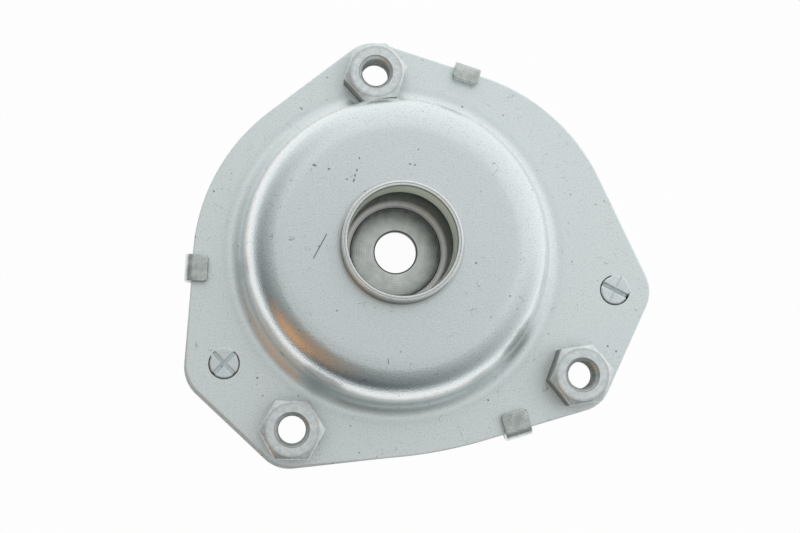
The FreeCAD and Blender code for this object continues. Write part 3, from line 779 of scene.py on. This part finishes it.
def track(side, rising):
    """Arc of the ball track in a race's section: the circle of the track's radius about the ball's centre,
    between the two points where it cuts the land."""
    edge = math.asin(track_half / track_r)
    turn = np.linspace(-edge, edge, 24)[::1 if rising else -1]
    return np.stack([pitch_r + side * track_r * np.cos(turn), bearing_mid_z + track_r * np.sin(turn)], 1)


inner_race = shell("inner_race", turned(np.concatenate([
    bent_path([(11.35, bearing_top_z, 0.2), (8.5, bearing_top_z, 0.6), (8.5, bearing_under_z, 0.6),
               (11.35, bearing_under_z, 0.2)], closed=True, turn=15.0),
    track(-1, True),
])))
outer_race = shell("outer_race", turned(np.concatenate([
    bent_path([
        (14.65, bearing_under_z + 1.0, 0), (15.0, bearing_under_z + 1.0, 0), (15.0, bearing_under_z, 0.2),
        (17.5, bearing_under_z, 0.6), (17.5, bearing_top_z, 0.6), (15.0, bearing_top_z, 0.2),
        (15.0, bearing_top_z - 1.0, 0), (14.65, bearing_top_z - 1.0, 0)], turn=15.0),
    track(1, False),
])))

# Ground bearing steel: bright, with a faint lay left by the wheel round the axis.
ground_finish, tree, shader = new_finish("ground_bearing_steel", Metallic=1.0)
place = add(tree, "ShaderNodeTexCoord").outputs["Object"]
lay = noise(tree, place, 0.0006, 2.0)
tone = tint_between(tree, lay, colour("#b4b6b6"), colour("#c8caca"))
tree.links.new(tone, shader.inputs["Base Color"])
gloss = ramp(tree, lay, 0.0, 1.0, 0.12, 0.26)
tree.links.new(gloss, shader.inputs["Roughness"])
dress(inner_race, ground_finish, "swivel", "bearing_steel", "bearing_inner_race")
dress(outer_race, ground_finish, "core", "bearing_steel", "bearing_outer_race")
for number in range(1, 11):
    angle = 2 * math.pi / 10 * (number - 1)
    arc = np.radians(np.linspace(-88, 88, 23))
    ball = turned(np.stack([ball_r * np.cos(arc), bearing_mid_z + ball_r * np.sin(arc)], 1), columns=40)
    ball = ball + (pitch_r * math.cos(angle), pitch_r * math.sin(angle), 0)
    dress(shell("ball_%02d" % number, (ball, False)), ground_finish, "cage", "bearing_steel",
          "bearing_ball_%02d" % number)

# Pressed strip steel of the cage and its rivets: soft, slightly yellow, tumbled.
strip_finish, tree, shader = new_finish("tumbled_strip_steel", Metallic=0.9)
place = add(tree, "ShaderNodeTexCoord").outputs["Object"]
grain = noise(tree, place, 0.0008, 2.0)
tone = tint_between(tree, grain, colour("#a39d92"), colour("#c0bbb1"))
tree.links.new(tone, shader.inputs["Base Color"])
gloss = ramp(tree, grain, 0.0, 1.0, 0.3, 0.5)
tree.links.new(gloss, shader.inputs["Roughness"])
for name in ("cage_upper", "cage_lower", "cage_rivets"):
    for place_for_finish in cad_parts[name].material_slots:
        place_for_finish.material = strip_finish

# Moulded seal rubber on a steel washer: brown-black and satin.
seal_finish, tree, shader = new_finish("moulded_seal_rubber", Metallic=0.0)
place = add(tree, "ShaderNodeTexCoord").outputs["Object"]
grain = noise(tree, place, 0.0007, 2.0)
tone = tint_between(tree, grain, colour("#2b2521"), colour("#40372f"))
tree.links.new(tone, shader.inputs["Base Color"])
gloss = ramp(tree, grain, 0.0, 1.0, 0.45, 0.6)
tree.links.new(gloss, shader.inputs["Roughness"])
for name, top in (("seal_upper", bearing_top_z - 0.3), ("seal_lower", bearing_under_z + 1.0)):
    seal = shell("rubber_" + name, turned(bent_path([
        (11.45, top, 0.15), (11.45, top - 0.7, 0.15), (14.98, top - 0.7, 0.1), (14.98, top, 0.1),
    ], closed=True, turn=20.0, spacing=0.6)))
    dress(seal, seal_finish, "core", "seal_rubber", name)


# The two rubber cushions, moulded rings of natural rubber above and below the cup's flange. The housing's
# roof and the dish's floor clamp them, so each stretches between the housing and the moving core.

ring_inner = seat_r + 1.8
mid_z = (roof_under_z + cup_flange_z) / 2
rebound = shell("rebound_ring", turned(bent_path([
    (ring_inner, cup_flange_z, 0.5), (33.0, cup_flange_z, 1.0), (29.5, mid_z, 3.0),
    (31.5, roof_under_z, 1.0), (ring_inner, roof_under_z, 0.5), (ring_inner + 1.8, mid_z, 3.0),
], closed=True, spacing=1.0)))
jounce_top_z = cup_flange_z - cup_sheet
tall = jounce_top_z - dish_floor_z
jounce = shell("jounce_ring", turned(bent_path([
    (ring_inner, jounce_top_z, 0.5), (33.5, jounce_top_z, 1.0), (31.0, jounce_top_z - 0.35 * tall, 3.0),
    (37.0, jounce_top_z - 0.7 * tall, 3.0), (34.0, dish_floor_z, 1.0), (26.5, dish_floor_z, 0.5),
    (ring_inner, jounce_top_z - 0.6 * tall, 3.0),
], closed=True, spacing=1.0)))

# Carbon-filled rubber: near black and matt, with a faint bloom in cloudy patches and a moulded grain.
rubber, tree, shader = new_finish("moulded_natural_rubber", Metallic=0.0)
place = add(tree, "ShaderNodeTexCoord").outputs["Object"]
bloom = noise(tree, place, 0.006, 4.0)
grain = noise(tree, place, 0.0006, 2.0)
share = ramp(tree, bloom, 0.45, 0.75)
tone = tint_between(tree, share, colour("#1d1d1d"), colour("#34332f"))
tree.links.new(tone, shader.inputs["Base Color"])
gloss = ramp(tree, bloom, 0.0, 1.0, 0.55, 0.75)
tree.links.new(gloss, shader.inputs["Roughness"])
bump = add(tree, "ShaderNodeBump", {"Height": grain, "Strength": 0.3, "Distance": 0.0001})
tree.links.new(bump.outputs[0], shader.inputs["Normal"])
for cushion, node, start_z, end_z in (
        (rebound, "rebound_cushion", roof_under_z, cup_flange_z),
        (jounce, "jounce_cushion", dish_floor_z, jounce_top_z)):
    cushion.data.materials.append(rubber)
    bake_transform(cushion)
    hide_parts(node)


# The studio: a white table and a white surround that greys overhead. Four bands toward the lower left, two
# dark and two warm, stand for the room that the glossy metal picks up in the photo. Each is its bearing, the
# angles where it is full and gone, the heights where it rises and falls, and its tint. The camera looks
# almost straight down the rod's axis, as the photographer did.

table_mesh = bpy.data.meshes.new("table")
half = 0.26
table_z = -0.01805
corners = [(-half, -half, table_z), (half, -half, table_z), (half, half, table_z), (-half, half, table_z)]
table_mesh.from_pydata(corners, [], [(0, 1, 2, 3)])
table = bpy.data.objects.new("table", table_mesh)
bpy.context.scene.collection.objects.link(table)
table_finish = bpy.data.materials.new("white_table")
table_finish.use_nodes = True
tree = table_finish.node_tree
tree.nodes.clear()
matt = add(tree, "ShaderNodeBsdfDiffuse", {"Color": colour("#f0f0ee")})
white = add(tree, "ShaderNodeEmission", {"Color": colour("#ffffff"), "Strength": 1.0})
paths = add(tree, "ShaderNodeLightPath")
ray = calc(tree, "MAXIMUM", paths.outputs["Is Camera Ray"], paths.outputs["Is Glossy Ray"])
seen = calc(tree, "MULTIPLY", ray, 0.97)
both = add(tree, "ShaderNodeMixShader", {0: seen, 1: matt.outputs[0], 2: white.outputs[0]})
add(tree, "ShaderNodeOutputMaterial", {"Surface": both.outputs[0]})
table_mesh.materials.append(table_finish)

world = bpy.data.worlds.new("studio")
bpy.context.scene.world = world
world.use_nodes = True
tree = world.node_tree
tree.nodes.clear()
way = add(tree, "ShaderNodeTexCoord").outputs["Generated"]
parts = add(tree, "ShaderNodeSeparateXYZ", {"Vector": way})
height = parts.outputs["Z"]
sky = ramp(tree, height, 0.1, 0.8, 0.94, 0.82)
overhead = ramp(tree, height, 0.935, 1.0)
sky = tint_between(tree, overhead, sky, colour("#babbba"))
level = add(tree, "ShaderNodeCombineXYZ", {"X": parts.outputs["X"], "Y": parts.outputs["Y"]}).outputs[0]
level = add(tree, "ShaderNodeVectorMath", {0: level}, operation="NORMALIZE").outputs[0]
for bearing, near, far, low, high, tint in (
        (238, 20, 138, (0.20, 0.55), (0.86, 1.00), "#959a99"),
        (238, 20, 135, (-0.24, 0.14), (0.34, 0.86), "#4c5356"),
        (229, 6, 23, (0.16, 0.45), (0.74, 0.95), "#a0866f"),
        (216, 4, 16, (0.05, 0.20), (0.40, 0.64), "#d9a273")):
    toward = (math.cos(math.radians(bearing)), math.sin(math.radians(bearing)), 0)
    facing = add(tree, "ShaderNodeVectorMath", {0: level, 1: toward}, operation="DOT_PRODUCT").outputs["Value"]
    aside = ramp(tree, facing, math.cos(math.radians(far)), math.cos(math.radians(near)))
    over = ramp(tree, height, low[0], low[1])
    under = ramp(tree, height, high[0], high[1], 1.0, 0.0)
    band = calc(tree, "MULTIPLY", over, under)
    band = calc(tree, "MULTIPLY", band, aside)
    sky = tint_between(tree, band, sky, colour(tint))
light = add(tree, "ShaderNodeBackground", {"Color": sky, "Strength": 1.0})
backdrop = add(tree, "ShaderNodeBackground", {"Color": (1, 1, 1, 1), "Strength": 1.0})
ray = add(tree, "ShaderNodeLightPath").outputs["Is Camera Ray"]
both = add(tree, "ShaderNodeMixShader", {0: ray, 1: light.outputs[0], 2: backdrop.outputs[0]})
add(tree, "ShaderNodeOutputWorld", {"Surface": both.outputs[0]})

camera_data = bpy.data.cameras.new("camera")
camera_data.lens = 54.0
camera_data.sensor_width = 36.0
camera_data.clip_start = 0.01
camera = bpy.data.objects.new("camera", camera_data)
bpy.context.scene.collection.objects.link(camera)
down = Vector((291.6 - 400, 266.5 - 416.7, -1200)).normalized()
axis_z = -down
axis_x = (Vector((1, 0, 0)) - axis_z * axis_z.x).normalized()
axis_y = axis_z.cross(axis_x)
camera_turn = Matrix((axis_x, axis_y, axis_z)).to_4x4()
camera.matrix_world = Matrix.Translation((-0.03061, -0.04911, 0.35836)) @ camera_turn
bpy.context.scene.camera = camera
bpy.context.scene.view_settings.view_transform = "Standard"
